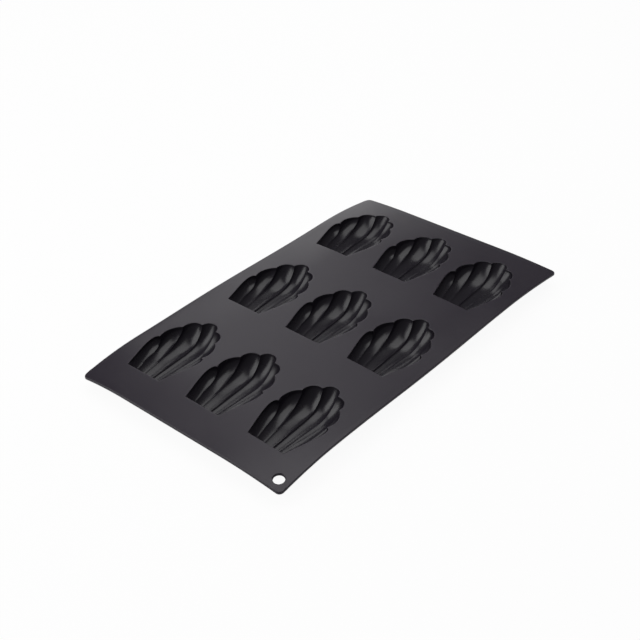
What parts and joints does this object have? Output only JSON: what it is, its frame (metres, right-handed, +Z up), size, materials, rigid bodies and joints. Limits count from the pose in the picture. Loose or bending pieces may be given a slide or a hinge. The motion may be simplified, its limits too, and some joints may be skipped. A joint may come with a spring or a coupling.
{
  "type": "silicone madeleine mould",
  "caption": "Thin black silicone baking mould: a rectangular sheet with rows of fluted, shell-shaped cups and a hanging hole in one corner.",
  "frame": {"origin": "under the middle of the sheet, on the surface that the cups stand on", "axes": "+Z up out of the cups' mouths; +Y along the sheet's length, towards the scalloped ends of the cups; +X across the sheet, with the hanging hole at the +X, -Y corner"},
  "size_m": [0.175, 0.3, 0.016],
  "materials": {
    "deck": "satin black silicone",
    "cup": "polished black silicone"
  },
  "bodies": {
    "root": {"sheet": "deck", "front_left_cup": "cup", "front_centre_cup": "cup", "front_right_cup": "cup", "middle_left_cup": "cup", "middle_centre_cup": "cup", "middle_right_cup": "cup", "back_left_cup": "cup", "back_centre_cup": "cup", "back_right_cup": "cup"}
  },
  "joints": []
}
